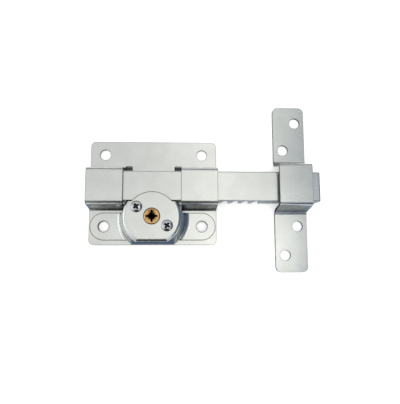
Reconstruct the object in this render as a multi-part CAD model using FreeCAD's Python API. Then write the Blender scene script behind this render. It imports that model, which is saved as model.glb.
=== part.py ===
"""Key-turned gate bolt: back plate with two folded straps, rack bolt, lock and keeper."""
import FreeCAD, Part
import math
import os

from FreeCAD import Vector

# The origin is the centre of the four gate holes, on the plate's back face.
# +X is the way the bolt is thrown, +Y is up the gate and +Z is out of the plate.
# All sizes are in millimetres.

# Folded sheet of the plate, the keeper and the bolt
sheet = 2.0
strap_bend = 1.4
slide_gap = 0.3
running_gap = 0.05

# Back plate
plate_width = 95.0
plate_above = 37.5
plate_below = 41.0
plate_corner = 3.5
strap_width = 26.5
strap_lean = 8.0
strap_foot_bend = 1.5
relief_width = 5.0
relief_width_low = 2.0
relief_margin = 0.2
relief_corner = 0.9
slit_width = 1.5
slit_below_bolt = 1.2

# Gate holes, shared by the plate and the ears of the cover
hole_diameter = 8.0
hole_from_side = 11.0
hole_from_top = 10.25

# Bolt, a folded channel open at the back, with a rack cut in its lower flange
bolt_height = 22.2
bolt_depth = 14.7
bolt_line = 1.2
bolt_edge = 1.2
tail_inset = 3.5
nose_short = 0.2
notch_mouth = 6.0
notch_root = 2.6

# Pinion and rack
tooth_count = 10
tooth_pitch = 7.6
tooth_tip = 1.6
tooth_rise = 0.85
tooth_root = 1.9
rack_depth = 1.1
spare_notches = 1
pinion_thickness = 4.4
pinion_lift = 1.6

# Cylinder plug with a cross keyway, and its tang
plug_radius = 5.9
plug_proud = 0.2
plug_chamfer = 0.6
keyway_reach = 4.3
keyway_width = 1.4
keyway_heart = 3.6
keyway_depth = 13.0
tang_radius = 4.0
tang_flat = 3.0
tang_floor_gap = 0.4
clip_thickness = 0.6
clip_width = 2.0
clip_bite = 0.8

# Pin tumblers, one set facing each arm of the keyway
pin_radius = 1.2
bore_start = 0.5
key_pin_tip = 3.0
driver_share = 0.4
bore_wall = 0.85
spring_wire = 0.36
spring_turns = 3
wire_sides = 6
coil_sides = 10
pin_row_low = 3.6
pin_row_high = 6.6

# Cast housing of the cylinder, which bridges the pinion
barrel_radius = 10.2
bridge_thickness = 2.7
side_wall = 5.0
side_gap = 0.45
side_up_to_bolt = 3.5
side_below_axis = 9.0
post_radius = 3.6
stud_radius = 2.0
stud_above_axis = 2.5
stud_below_axis = 6.5

# Cover, drawn from thinner sheet, with an ear under each lower gate hole
cover_sheet = 1.2
cover_drop = 0.4
cover_flat = 18.2
cover_wall_top = 20.9
cover_wall_base = 25.0
cover_bend = 3.0
cover_foot_bend = 4.0
cover_edge_gap = 0.4
cover_flank_draft = 1.0
ear_radius = 10.25
strap_clearance = 0.4
bolt_clearance = 0.5
hole_clearance = 0.2

# Cover screws
screw_offset_x = 11.0
screw_offset_y = 6.8
screw_radius = 1.95
screw_length = 8.0
screw_head_radius = 4.2
screw_head_height = 2.0
screw_head_rim = 0.7
screw_head_flat = 2.5
screw_room = 1.0
recess_reach = 2.3
recess_width = 0.9
recess_depth = 1.2

# Keeper, one bent strip
keeper_width = 24.4
keeper_length = 127.5
keeper_corner = 4.0
keeper_rise = 1.2
keeper_lean = 10.0
keeper_foot_bend = 3.0
keeper_clear_y = 2.25
keeper_clear_z = 3.0
nose_past_keeper = 6.9
keeper_hole_from_hat = 14.05
keeper_hole_from_end = 12.55
keeper_hole_stagger = 4.9

# Places that follow from the sizes above
cut_reach = 10 * plate_width
overshoot = sheet / 2
hole_radius = hole_diameter / 2
half_plate = plate_width / 2
hole_x = half_plate - hole_from_side
hole_y = plate_above - hole_from_top
strap_inner_x = half_plate - strap_width
bolt_back = sheet + slide_gap
bolt_front = bolt_back + bolt_depth
bolt_low = bolt_line - bolt_height / 2
bolt_high = bolt_line + bolt_height / 2
travel = tooth_pitch * tooth_count
nose_x = half_plate + travel - nose_short
tail_x = tail_inset - half_plate
pitch_radius = travel / (2 * math.pi)
tip_radius = pitch_radius + tooth_rise
axis_y = bolt_low + rack_depth - pitch_radius
pinion_low = sheet + pinion_lift
pinion_high = pinion_low + pinion_thickness
housing_low = pinion_high + slide_gap
bridge_high = housing_low + bridge_thickness
cover_inner_z = bolt_front + slide_gap
cover_front = cover_inner_z + cover_sheet
plug_front = cover_front + plug_proud
plug_shoulder = pinion_high + running_gap
tang_end = sheet + tang_floor_gap
clip_high = pinion_low - running_gap
clip_low = clip_high - clip_thickness
cover_y = axis_y - cover_drop
ear_y = -hole_y
side_inner = tip_radius + side_gap
side_outer = side_inner + side_wall
keeper_x = nose_x - nose_past_keeper - keeper_width / 2
keeper_y = bolt_line + keeper_rise
keeper_half_hat = bolt_height / 2 + keeper_clear_y + sheet
bore_end = barrel_radius - bore_wall
driver_start = plug_radius + 2 * running_gap
driver_end = driver_start + driver_share * (bore_end - driver_start)
screw_places = [
    (-screw_offset_x, axis_y + screw_offset_y),
    (screw_offset_x, axis_y - screw_offset_y),
]


def box(x0, x1, y0, y1, z0, z1):
    """Box between two corners."""
    return Part.makeBox(x1 - x0, y1 - y0, z1 - z0, Vector(x0, y0, z0))


def rod(radius, x, y, z0, z1):
    """Round bar along Z."""
    return Part.makeCylinder(radius, z1 - z0, Vector(x, y, z0))


def fused(shapes):
    """One solid of several touching ones, without the seams between them."""
    return shapes[0].multiFuse(shapes[1:]).removeSplitter()


def rounded_plate(x0, x1, y0, y1, z0, z1, radius):
    """Flat plate with round corners."""
    plate = box(x0, x1, y0, y1, z0, z1)
    corners = [edge for edge in plate.Edges if is_along(edge, Vector(0, 0, 1))]
    return plate.makeFillet(radius, corners)


def is_along(edge, direction):
    """Says whether a straight edge runs along a direction."""
    if not isinstance(edge.Curve, Part.Line):
        return False
    return abs(abs(edge.Curve.Direction.dot(direction)) - 1) < 1e-6


def end_corners(shape, y_low, y_high):
    """Edges along Z at the two ends of a flat sheet."""
    upright = [edge for edge in shape.Edges if is_along(edge, Vector(0, 0, 1))]
    return [
        edge for edge in upright
        if min(abs(edge.BoundBox.YMin - y_low), abs(edge.BoundBox.YMax - y_high)) < 1e-6
    ]


def bend_arc(before, corner, after, radius, side):
    """Arc of one face of a folded sheet at a corner of its middle line."""
    way_in = (corner - before).normalize()
    way_out = (after - corner).normalize()
    turn = way_in.x * way_out.y - way_in.y * way_out.x
    left = 1 if turn > 0 else -1
    half_turn = math.acos(max(-1, min(1, way_in.dot(way_out)))) / 2
    run = radius * math.tan(half_turn)
    normal_in = Vector(-way_in.y, way_in.x, 0) * left
    normal_out = Vector(-way_out.y, way_out.x, 0) * left
    centre = corner - way_in * run + normal_in * radius
    face_radius = radius - left * side
    middle = (normal_in + normal_out).normalize()
    return [centre - normal * face_radius for normal in (normal_in, middle, normal_out)]


def folded_face(points, bends, thickness):
    """Section of a folded sheet, from its middle line's corners and middle bend radii."""
    corners = [Vector(y, z, 0) for y, z in points]
    faces = []
    for side in (thickness / 2, -thickness / 2):
        path = [[end_point(corners[0], corners[1], corners[0], side)]]
        for index, radius in enumerate(bends):
            path.append(bend_arc(*corners[index:index + 3], radius, side))
        path.append([end_point(corners[-2], corners[-1], corners[-1], side)])
        faces.append(path)
    back_path = [list(reversed(stretch)) for stretch in reversed(faces[1])]
    stretches = faces[0] + back_path
    edges = []
    for index, stretch in enumerate(stretches):
        if len(stretch) == 3:
            edges.append(Part.Arc(*stretch).toShape())
        following = stretches[(index + 1) % len(stretches)]
        edges.append(Part.makeLine(stretch[-1], following[0]))
    return Part.Face(Part.Wire(edges))


def end_point(start, end, place, side):
    """Corner of a folded sheet's open end."""
    way = (end - start).normalize()
    return place + Vector(-way.y, way.x, 0) * side


def flank_spread(lean, hat_top):
    """How much wider a hat is at its foot than at its crown, on each side."""
    return (hat_top - sheet) * math.tan(math.radians(lean))


def foot_reach(lean, bend, hat_top):
    """Distance from the top of a hat's flank to the flat part of its foot."""
    half = sheet / 2
    run = (bend + half) * math.tan(math.radians(90 - lean) / 2)
    return flank_spread(lean, hat_top) + run - half


def hat_strip(x0, x1, y_low, y_high, hat_low, hat_high, hat_top, lean, bend):
    """Strip along Y that steps out into a hat, whose flanks lean in toward its crown."""
    half = sheet / 2
    foot = bend + half
    crown = strap_bend + half
    spread = flank_spread(lean, hat_top)
    points = [
        (y_low, half),
        (hat_low + half - spread, half),
        (hat_low + half, hat_top - half),
        (hat_high - half, hat_top - half),
        (hat_high - half + spread, half),
        (y_high, half),
    ]
    face = folded_face(points, [foot, crown, crown, foot], sheet)
    strip = face.extrude(Vector(0, 0, x1 - x0))
    upright = FreeCAD.Rotation(Vector(0, 1, 0), Vector(0, 0, 1), Vector(1, 0, 0), "YZX")
    strip.Placement = FreeCAD.Placement(Vector(x0, 0, 0), upright)
    return Part.Shape(strip)


def back_plate():
    """Plate with a strap folded out at each end, a tongue behind the bolt and relief cuts."""
    hat_low = bolt_low - slide_gap - sheet
    hat_high = bolt_high + slide_gap + sheet
    hat_top = cover_inner_z + sheet
    relief_reach = foot_reach(strap_lean, strap_foot_bend, hat_top) + relief_margin
    relief_high = hat_high + relief_reach
    relief_low = hat_low - relief_reach
    tongue = strap_inner_x - relief_width
    tab = strap_inner_x - relief_width_low
    tongue_low = bolt_low - slit_below_bolt
    straps = [
        hat_strip(
            x, x + strap_width, -plate_below, plate_above, hat_low, hat_high, hat_top,
            strap_lean, strap_foot_bend,
        )
        for x in (-half_plate, strap_inner_x)
    ]
    middle = box(-strap_inner_x, strap_inner_x, -plate_below, plate_above, 0, sheet)
    for side in (-1, 1):
        middle = middle.cut(slot_cut(side, tongue, tongue_low - slit_width, relief_high))
        middle = middle.cut(slot_cut(side, tab, relief_low, tongue_low))
    middle = middle.cut(box(-tab, tab, tongue_low - slit_width, tongue_low, -overshoot, sheet + overshoot))
    pieces = straps + [solid for solid in middle.Solids]
    plate = fused(pieces)
    plate = plate.makeFillet(plate_corner, end_corners(plate, -plate_below, plate_above))
    for x in (-hole_x, hole_x):
        for y in (-hole_y, hole_y):
            plate = plate.cut(through_sheet(hole_radius, x, y))
    for x, y in stud_places():
        plate = plate.cut(through_sheet(stud_radius + running_gap, x, y))
    return plate


def through_sheet(radius, x, y):
    """Drill for a round hole through the flat sheet."""
    return rod(radius, x, y, -overshoot, sheet + overshoot)


def slot_cut(side, inner_x, y_low, y_high):
    """Relief cut beside a strap, round at its inner corners."""
    outer_x = strap_inner_x + relief_corner
    x0, x1 = sorted((side * inner_x, side * outer_x))
    cut = rounded_plate(x0, x1, y_low, y_high, -overshoot, sheet + overshoot, relief_corner)
    edge_x0, edge_x1 = sorted((side * inner_x, side * strap_inner_x))
    return cut.common(box(edge_x0, edge_x1, y_low, y_high, -overshoot, sheet + overshoot))


def stud_places():
    """Centres of the cast studs under the housing's side walls, staked flush behind the plate."""
    x = side_inner + side_wall / 2
    heights = (axis_y + stud_above_axis, axis_y - stud_below_axis)
    return [(side * x, y) for side in (-1, 1) for y in heights]


def bolt_bar():
    """Channel folded from sheet, closed at the nose, with the rack in its lower flange."""
    outer = box(tail_x, nose_x, bolt_low, bolt_high, bolt_back, bolt_front)
    rounded = []
    for edge in outer.Edges:
        at_front = abs(edge.BoundBox.ZMin - bolt_front) < 1e-6
        at_nose = abs(edge.BoundBox.XMin - nose_x) < 1e-6
        at_tail = abs(edge.BoundBox.XMax - tail_x) < 1e-6
        at_back = abs(edge.BoundBox.ZMax - bolt_back) < 1e-6
        if (at_front or at_nose) and not at_tail and not at_back:
            rounded.append(edge)
    outer = outer.makeFillet(bolt_edge, rounded)
    inner = box(
        tail_x - overshoot, nose_x - sheet, bolt_low + sheet, bolt_high - sheet,
        bolt_back - overshoot, bolt_front - sheet,
    )
    bolt = outer.cut(inner)
    for index in range(tooth_count + 1 + spare_notches):
        bolt = bolt.cut(rack_notch(travel - index * tooth_pitch))
    return bolt


def rack_notch(x):
    """Tapered notch through the lower flange, widest at its free edge."""
    root_z = bolt_front - bolt_edge
    points = [
        Vector(x - notch_mouth / 2, 0, bolt_back),
        Vector(x + notch_mouth / 2, 0, bolt_back),
        Vector(x + notch_root / 2, 0, root_z),
        Vector(x - notch_root / 2, 0, root_z),
    ]
    outline = Part.makePolygon(points + points[:1])
    notch = Part.Face(outline).extrude(Vector(0, sheet + 2 * slide_gap, 0))
    notch.translate(Vector(0, bolt_low - slide_gap, 0))
    return notch


def pinion():
    """Gear of round-tipped teeth on the plug's tang."""
    root = rod(pitch_radius - tooth_root, 0, axis_y, pinion_low, pinion_high)
    shapes = [root]
    tooth_centre = tip_radius - tooth_tip
    for index in range(tooth_count):
        flank = box(-tooth_tip, tooth_tip, 0, tooth_centre, pinion_low, pinion_high)
        tooth = flank.fuse(rod(tooth_tip, 0, tooth_centre, pinion_low, pinion_high))
        tooth.rotate(Vector(0, 0, 0), Vector(0, 0, 1), 360 * index / tooth_count)
        tooth.translate(Vector(0, axis_y, 0))
        shapes.append(tooth)
    gear = fused(shapes)
    return gear.cut(tang(running_gap, pinion_low - overshoot, pinion_high + overshoot))


def tang(gap, z0, z1):
    """Round shaft with two flats."""
    reach = tang_radius + gap
    flat = tang_flat + gap
    shaft = rod(reach, 0, axis_y, z0, z1)
    return shaft.common(box(-reach, reach, axis_y - flat, axis_y + flat, z0, z1))


def cylinder_plug():
    """Brass plug with its cross keyway, pin bores and flatted tang."""
    body = rod(plug_radius, 0, axis_y, plug_shoulder, plug_front)
    rim = [edge for edge in body.Edges if edge.BoundBox.ZMin > plug_front - 1e-6]
    body = body.makeChamfer(plug_chamfer, rim)
    plug = body.fuse(tang(0, tang_end, plug_shoulder)).removeSplitter()
    groove_low = clip_low - running_gap
    groove_high = clip_high + running_gap
    groove = rod(tang_radius + overshoot, 0, axis_y, groove_low, groove_high)
    neck = rod(tang_radius - clip_bite, 0, axis_y, groove_low, groove_high)
    plug = plug.cut(groove.cut(neck)).cut(keyway())
    for angle, z in pin_places():
        plug = plug.cut(radial_rod(pin_radius + running_gap, bore_start, plug_radius + overshoot, angle, z))
    return plug


def keyway():
    """Cross-shaped key hole with a square heart set on its corner."""
    z0 = plug_front - keyway_depth
    z1 = plug_front + overshoot
    half = keyway_width / 2
    across = box(-keyway_reach, keyway_reach, axis_y - half, axis_y + half, z0, z1)
    upright = box(-half, half, axis_y - keyway_reach, axis_y + keyway_reach, z0, z1)
    side = keyway_heart / 2
    heart = box(-side, side, -side, side, z0, z1)
    heart.rotate(Vector(0, 0, 0), Vector(0, 0, 1), 45)
    heart.translate(Vector(0, axis_y, 0))
    return fused([across, upright, heart])


def pinion_clip():
    """Open spring clip in the groove of the tang."""
    inner = tang_radius - clip_bite + running_gap
    outer = inner + clip_width
    ring = rod(outer, 0, axis_y, clip_low, clip_high)
    ring = ring.cut(rod(inner, 0, axis_y, clip_low, clip_high))
    mouth = box(-inner, inner, axis_y - outer, axis_y, clip_low, clip_high)
    return ring.cut(mouth)


def pin_places():
    """Angle and height of each set of pins: two rows, so that opposite bores pair up."""
    rows = (pin_row_high, pin_row_low)
    return [(90 * index, housing_low + rows[index % 2]) for index in range(4)]


def radial_rod(radius, r0, r1, angle, z):
    """Round bar that points away from the plug's axis."""
    bar = Part.makeCylinder(radius, r1 - r0, Vector(r0, 0, 0), Vector(1, 0, 0))
    return set_radially(bar, angle, z)


def set_radially(shape, angle, z):
    """A shape built along +X from the plug's axis, turned and lifted to its place."""
    shape.rotate(Vector(0, 0, 0), Vector(0, 0, 1), angle)
    shape.translate(Vector(0, axis_y, z))
    return shape


def shear_radius():
    """Outer end of a key pin, inside the plug's round surface."""
    return math.sqrt((plug_radius - running_gap) ** 2 - pin_radius ** 2)


def key_pin(angle, z):
    """Pin that reaches into an arm of the keyway, as it stands with the key in."""
    return radial_rod(pin_radius, key_pin_tip, shear_radius(), angle, z)


def driver_pin(angle, z):
    """Plain pin outside the shear line."""
    return radial_rod(pin_radius, driver_start, driver_end, angle, z)


def pin_spring(angle, z):
    """Coil spring between a driver pin and the end of its bore."""
    wire = spring_wire / 2
    steps = spring_turns * coil_sides
    climb = bore_end - driver_end - spring_wire
    corners = []
    for corner in range(wire_sides + 1):
        turn = 2 * math.pi * corner / wire_sides
        reach = pin_radius - wire + wire * math.cos(turn)
        corners.append(Vector(driver_end + wire + wire * math.sin(turn), reach, 0))
    sections = []
    for step in range(steps + 1):
        section = Part.makePolygon(corners)
        section.rotate(Vector(0, 0, 0), Vector(1, 0, 0), 360 * step / coil_sides)
        section.translate(Vector(climb * step / steps, 0, 0))
        sections.append(section)
    return set_radially(Part.makeLoft(sections, True, True), angle, z)


def cylinder_housing():
    """Casting that bridges the pinion: barrel, two screw posts, two side walls and studs."""
    wall_high = bolt_low - side_up_to_bolt
    wall_low = axis_y - side_below_axis
    bridge = box(-side_outer, side_outer, wall_low, wall_high, housing_low, bridge_high)
    left = box(-side_outer, -side_inner, wall_low, wall_high, sheet, bridge_high)
    right = box(side_inner, side_outer, wall_low, wall_high, sheet, bridge_high)
    barrel = rod(barrel_radius, 0, axis_y, housing_low, cover_inner_z)
    posts = [rod(post_radius, x, y, housing_low, cover_inner_z) for x, y in screw_places]
    studs = [rod(stud_radius, x, y, 0, sheet) for x, y in stud_places()]
    housing = fused([bridge, left, right, barrel] + posts + studs)
    housing = housing.cut(rod(plug_radius + running_gap, 0, axis_y, 0, cover_front))
    drill_end = cover_front - screw_length - screw_room
    for x, y in screw_places:
        housing = housing.cut(rod(screw_radius + running_gap, x, y, drill_end, cover_front))
    for angle, z in pin_places():
        housing = housing.cut(radial_rod(pin_radius + running_gap, 0, bore_end, angle, z))
    return housing


def cup_core(inset):
    """Round cup with one flat flank, shrunk by an inset, as a solid block."""
    top = cover_front - inset
    depth = top - sheet
    slope = (cover_wall_base - cover_wall_top) / (cover_front - sheet)
    base = cover_wall_base - inset
    bend = cover_bend - inset
    cup = walled_profile(base, base - slope * depth, top, bend).revolve(
        Vector(0, 0, 0), Vector(0, 0, 1), 360,
    )
    cup.translate(Vector(0, cover_y, 0))
    flank_base = plate_below - cover_edge_gap - inset
    flank_top = flank_base - cover_flank_draft * depth / (cover_front - sheet)
    flank = walled_profile(flank_base, flank_top, top, bend)
    flank.rotate(Vector(0, 0, 0), Vector(0, 0, 1), -90)
    flank.translate(Vector(-cut_reach, 0, 0))
    behind = box(-cut_reach, cut_reach, 0, cut_reach, sheet, top)
    return cup.common(fused([flank.extrude(Vector(2 * cut_reach, 0, 0)), behind]))


def walled_profile(base, head, top, bend):
    """Half section of a block with a leaning wall and a bend at its front edge."""
    wall = Vector(head - base, 0, top - sheet)
    lean = math.atan2(base - head, top - sheet)
    run = bend * math.tan((math.pi / 2 - lean) / 2)
    corner = Vector(head, 0, top)
    on_wall = corner - wall.normalize() * run
    on_front = corner - Vector(run, 0, 0)
    centre = on_front - Vector(0, 0, bend)
    toward = (on_wall - centre).normalize() + (on_front - centre).normalize()
    arc = Part.Arc(on_wall, centre + toward.normalize() * bend, on_front).toShape()
    foot = Vector(base, 0, sheet)
    edges = [
        Part.makeLine(Vector(0, 0, sheet), foot),
        Part.makeLine(foot, on_wall),
        arc,
        Part.makeLine(on_front, Vector(0, 0, top)),
        Part.makeLine(Vector(0, 0, top), Vector(0, 0, sheet)),
    ]
    return Part.Face(Part.Wire(edges))


def flare(inset):
    """Ring of the hollow bend between the cup's wall and its ears, as a solid block."""
    floor = sheet + cover_sheet - inset
    slope = (cover_wall_base - cover_wall_top) / (cover_front - sheet)
    lean = math.atan(slope)
    wall_at_floor = cover_wall_base - inset - slope * (floor - sheet)
    bend = cover_foot_bend + inset
    run = bend * math.tan((math.pi / 2 - lean) / 2)
    centre = Vector(wall_at_floor + run, 0, floor + bend)
    on_wall = Vector(wall_at_floor - run * math.sin(lean), 0, floor + run * math.cos(lean))
    on_floor = Vector(wall_at_floor + run, 0, floor)
    toward = ((on_wall - centre).normalize() + (on_floor - centre).normalize()).normalize()
    arc = Part.Arc(on_wall, centre + toward * bend, on_floor).toShape()
    inside = cover_flat - cover_bend
    edges = [
        arc,
        Part.makeLine(on_floor, Vector(inside, 0, floor)),
        Part.makeLine(Vector(inside, 0, floor), Vector(inside, 0, on_wall.z)),
        Part.makeLine(Vector(inside, 0, on_wall.z), on_wall),
    ]
    ring = Part.Face(Part.Wire(edges)).revolve(Vector(0, 0, 0), Vector(0, 0, 1), 360)
    ring.translate(Vector(0, cover_y, 0))
    strip = ear_radius - inset
    return ring.common(box(-cut_reach, cut_reach, ear_y - strip, ear_y + strip, 0, cut_reach))


def ears():
    """Flat strip with round ends, through which the lower gate bolts clamp the cover."""
    top = sheet + cover_sheet
    strip = box(-hole_x, hole_x, ear_y - ear_radius, ear_y + ear_radius, sheet, top)
    ends = [rod(ear_radius, side * hole_x, ear_y, sheet, top) for side in (-1, 1)]
    return fused([strip] + ends)


def lock_cover():
    """Drawn cover: a cup with a flat flank and two ears, open where the bolt passes."""
    outside = fused([ears(), cup_core(0), flare(0)])
    cover = outside.cut(cup_core(cover_sheet)).cut(flare(cover_sheet))
    bolt_side = bolt_low - bolt_clearance
    tunnel = box(-cut_reach, cut_reach, bolt_side, cut_reach, sheet, cover_inner_z)
    beyond = box(-cut_reach, cut_reach, bolt_side, cut_reach, sheet, cover_front)
    beyond = beyond.cut(rod(cover_flat, 0, cover_y, 0, cut_reach))
    cover = cover.cut(tunnel).cut(beyond)
    edge_x = strap_inner_x - strap_clearance
    for side in (-1, 1):
        x0, x1 = sorted((side * edge_x, side * cut_reach))
        cover = cover.cut(box(x0, x1, ear_y + ear_radius, cut_reach, sheet, cut_reach))
        cover = cover.cut(rod(hole_radius, side * hole_x, ear_y, 0, cut_reach))
    cover = cover.cut(rod(plug_radius + hole_clearance, 0, axis_y, 0, cut_reach))
    for x, y in screw_places:
        cover = cover.cut(rod(screw_radius + hole_clearance, x, y, 0, cut_reach))
    return cover.removeSplitter()


def cover_screw(x, y):
    """Pan-head screw with a cross recess."""
    shank = rod(screw_radius, x, y, cover_front - screw_length, cover_front)
    rim = rod(screw_head_radius, x, y, cover_front, cover_front + screw_head_rim)
    crown = Part.makeCone(
        screw_head_radius, screw_head_flat, screw_head_height - screw_head_rim,
        Vector(x, y, cover_front + screw_head_rim),
    )
    screw = fused([shank, rim, crown])
    floor = cover_front + screw_head_height - recess_depth
    half = recess_width / 2
    for turn in (0, 90):
        slot = box(-recess_reach, recess_reach, -half, half, floor, floor + 2 * recess_depth)
        slot.rotate(Vector(0, 0, 0), Vector(0, 0, 1), turn + 45)
        slot.translate(Vector(x, y, 0))
        screw = screw.cut(slot)
    return screw


def keeper():
    """Strip bent out into a hat that the bolt shoots into, with staggered holes."""
    hat_top = bolt_front + keeper_clear_z + sheet
    y_low = keeper_y - keeper_length / 2
    y_high = keeper_y + keeper_length / 2
    strip = hat_strip(
        keeper_x - keeper_width / 2, keeper_x + keeper_width / 2, y_low, y_high,
        keeper_y - keeper_half_hat, keeper_y + keeper_half_hat, hat_top,
        keeper_lean, keeper_foot_bend,
    )
    strip = strip.makeFillet(keeper_corner, end_corners(strip, y_low, y_high))
    for x, y in keeper_holes():
        strip = strip.cut(through_sheet(hole_radius, x, y))
    return strip


def keeper_holes():
    """Staggered hole centres: the pattern looks the same turned half round."""
    inner = keeper_half_hat + keeper_hole_from_hat
    outer = keeper_length / 2 - keeper_hole_from_end
    steps = [
        (keeper_hole_stagger, outer),
        (-keeper_hole_stagger, inner),
        (keeper_hole_stagger, -inner),
        (-keeper_hole_stagger, -outer),
    ]
    return [(keeper_x + x, keeper_y + y) for x, y in steps]


def write(name, shape):
    """Write one node and say how large it is."""
    shape.exportStep(os.path.join("parts", name + ".step"))
    print(f"{name}: solids {len(shape.Solids)}, volume {shape.Volume:.1f}, valid {shape.isValid()}")


def build():
    """All nodes by name."""
    nodes = {
        "back_plate": back_plate(),
        "keeper": keeper(),
        "bolt_bar": bolt_bar(),
        "lock_cover": lock_cover(),
        "cylinder_housing": cylinder_housing(),
        "cylinder_plug": cylinder_plug(),
        "pinion": pinion(),
        "pinion_clip": pinion_clip(),
    }
    for name, place in zip(("cover_screw_upper", "cover_screw_lower"), screw_places):
        nodes[name] = cover_screw(*place)
    for number, place in enumerate(pin_places(), start=1):
        nodes[f"key_pin_{number}"] = key_pin(*place)
        nodes[f"driver_pin_{number}"] = driver_pin(*place)
        nodes[f"pin_spring_{number}"] = pin_spring(*place)
    return nodes


def main():
    os.makedirs("parts", exist_ok=True)
    for name, shape in build().items():
        write(name, shape)


if __name__ == "__main__":
    main()
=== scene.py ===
"""Key-turned gate bolt on a pale floor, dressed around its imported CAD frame."""
import math

import bmesh
import bpy
from mathutils import Matrix, Vector


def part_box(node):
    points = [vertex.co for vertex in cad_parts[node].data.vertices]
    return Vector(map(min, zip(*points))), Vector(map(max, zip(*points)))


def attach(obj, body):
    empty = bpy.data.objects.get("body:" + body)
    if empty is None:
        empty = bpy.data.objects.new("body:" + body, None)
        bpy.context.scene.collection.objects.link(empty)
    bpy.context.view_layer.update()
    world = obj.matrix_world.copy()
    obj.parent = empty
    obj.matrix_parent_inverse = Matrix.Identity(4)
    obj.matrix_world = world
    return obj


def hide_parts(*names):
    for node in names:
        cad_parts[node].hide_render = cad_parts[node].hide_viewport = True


bl_info = {
    "name": "Gate Bolt",
    "version": (1, 0, 0),
    "blender": (4, 5, 0),
    "location": "3D View > Sidebar > Gate Bolt",
    "description": "Dresses a key-turned gate bolt and sets its studio",
    "category": "Object",
}

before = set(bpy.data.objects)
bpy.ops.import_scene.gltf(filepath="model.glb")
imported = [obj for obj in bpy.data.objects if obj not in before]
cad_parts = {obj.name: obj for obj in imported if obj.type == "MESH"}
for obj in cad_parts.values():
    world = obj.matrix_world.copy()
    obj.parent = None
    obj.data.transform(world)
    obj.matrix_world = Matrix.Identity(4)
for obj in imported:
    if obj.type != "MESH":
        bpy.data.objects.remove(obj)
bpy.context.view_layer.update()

MERGE_DISTANCE = 2e-6
PIN_SETS = (1, 2, 3, 4)


def node_middle(name):
    """Middle of a CAD node's box."""
    low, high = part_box(name)
    return (Vector(low) + Vector(high)) / 2


def node_size(name):
    """Width, depth and height of a CAD node's box."""
    low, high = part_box(name)
    return Vector(high) - Vector(low)


PLUG_AXIS = node_middle("cylinder_plug")
SCREW_NODES = ("cover_screw_upper", "cover_screw_lower")
COVER_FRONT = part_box("lock_cover")[1][2]
BOLT_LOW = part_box("bolt_bar")[0][1]
BOLT_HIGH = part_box("bolt_bar")[1][1]
RACK_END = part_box("bolt_bar")[1][0] - 0.01

# Just over the sheet's thickness, so that it takes in faces that lie on it
SHEET = 0.0021
RACK_TOP = BOLT_LOW + SHEET

# Height of the cover fold's foot, and the Y behind it
COVER_FOLD = (0.006, BOLT_LOW)

# Ends of a relief slot, from the middle of the plate
RELIEF_INNER, RELIEF_OUTER = 0.0135, 0.023

SHARP_ANGLE = math.radians(32)
SCREW_SIDES = 48
SCREW_TWIST = math.radians(23)
SCREW_TIP = 0.0006
HEAD_EDGE = 0.0002
RECESS_EDGE = 0.0003
PLUG_DISH = 0.3
FLOOR_GAP = 0.0004

# Painted shade: near black in the depths of the plug's keyway, darker the deeper it goes
DEEP_SHADE = (0.012, 0.006, 0.004, 1.0)
# Painted shade round the keyway: the plug's face turns near black towards its axis
KEYWAY_SHADE = (0.02, 0.012, 0.008)
# Painted dark reflection: a grey ring round the rim of each screw head
SCREW_RIM_REFLECTION = (0.22, 0.22, 0.24)
WARM, COOL = (1.0, 0.96, 0.88), (0.96, 0.98, 1.0)


# Node building

class Tree:
    """Short way to add nodes and links to a node tree."""

    def __init__(self, tree):
        self.tree = tree
        self.nodes = tree.nodes

    def add(self, kind, inputs=None, **settings):
        """A node with settings and inputs, given by name or by place."""
        node = self.nodes.new(kind)
        for key, value in settings.items():
            setattr(node, key, value)
        for key, value in (inputs or {}).items():
            self.feed(node.inputs[key], value)
        return node

    def feed(self, socket, value):
        """A link where the value is a socket, else a plain value."""
        if isinstance(value, bpy.types.NodeSocket):
            self.tree.links.new(value, socket)
        else:
            socket.default_value = value

    def math(self, operation, first, second=0.0):
        """Result of one Math node."""
        return self.add("ShaderNodeMath", {0: first, 1: second}, operation=operation).outputs[0]

    def remap(self, value, low, high, to_low, to_high):
        """A value moved from one range to another."""
        return self.add("ShaderNodeMapRange", {
            "Value": value, "From Min": low, "From Max": high, "To Min": to_low, "To Max": to_high,
        }).outputs[0]

    def blend(self, factor, first, second):
        """One colour mixed into another."""
        node = self.add("ShaderNodeMix", {"Factor": factor}, data_type="RGBA")
        self.feed(node.inputs[6], first)
        self.feed(node.inputs[7], second)
        return node.outputs[2]

    def noise(self, vector, scale, detail=2.0, roughness=0.5):
        """Grey noise at a scale."""
        return self.add("ShaderNodeTexNoise", {
            "Vector": vector, "Scale": scale, "Detail": detail, "Roughness": roughness,
        }).outputs[0]

    def stretched(self, vector, scale, centre=(0, 0, 0)):
        """Coordinates moved to a centre and stretched along the axes."""
        moved = self.add("ShaderNodeVectorMath", {0: vector, 1: centre}, operation="SUBTRACT").outputs[0]
        return self.add("ShaderNodeVectorMath", {0: moved, 1: scale}, operation="MULTIPLY").outputs[0]

    def bump(self, height, strength, distance, normal=None):
        """Surface normal that follows a height."""
        inputs = {"Height": height, "Strength": strength, "Distance": distance}
        if normal is not None:
            inputs["Normal"] = normal
        return self.add("ShaderNodeBump", inputs).outputs[0]


def new_material(name):
    """Empty material with its principled shader, as (material, tree, shader)."""
    material = bpy.data.materials.new(name)
    material.use_nodes = True
    tree = Tree(material.node_tree)
    tree.nodes.clear()
    shader = tree.add("ShaderNodeBsdfPrincipled")
    output = tree.add("ShaderNodeOutputMaterial")
    tree.feed(output.inputs["Surface"], shader.outputs[0])
    return material, tree, shader


def object_place(tree):
    """Object coordinates."""
    return tree.add("ShaderNodeTexCoord").outputs["Object"]


def faded(colour, share):
    """A darker or lighter copy of a colour."""
    return tuple(channel * share for channel in colour[:3]) + (1.0,)


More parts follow.
